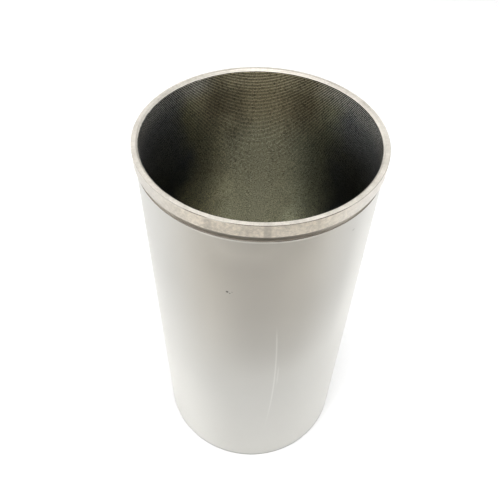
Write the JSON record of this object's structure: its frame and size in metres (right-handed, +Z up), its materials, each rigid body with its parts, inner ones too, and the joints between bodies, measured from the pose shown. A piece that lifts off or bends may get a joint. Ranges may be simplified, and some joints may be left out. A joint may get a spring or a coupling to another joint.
{
  "type": "cylinder liner",
  "caption": "Thin dry cylinder liner for an engine block: a plain sleeve with an open bore, a smooth ground outside and a low collar over a relief groove.",
  "frame": {"origin": "centre of the lower end face, on the bore's axis, where the liner stands", "axes": "+Z up along the bore's axis, from the plain lower end to the collar; X and Y are alike, as the liner is round"},
  "size_m": [0.1054, 0.1054, 0.202],
  "materials": {
    "liner_iron": "bare grey iron: ground smooth outside, turned on the collar and in the bore, darker in the relief groove"
  },
  "bodies": {
    "root": {"cylinder_liner": "liner_iron"}
  },
  "joints": []
}
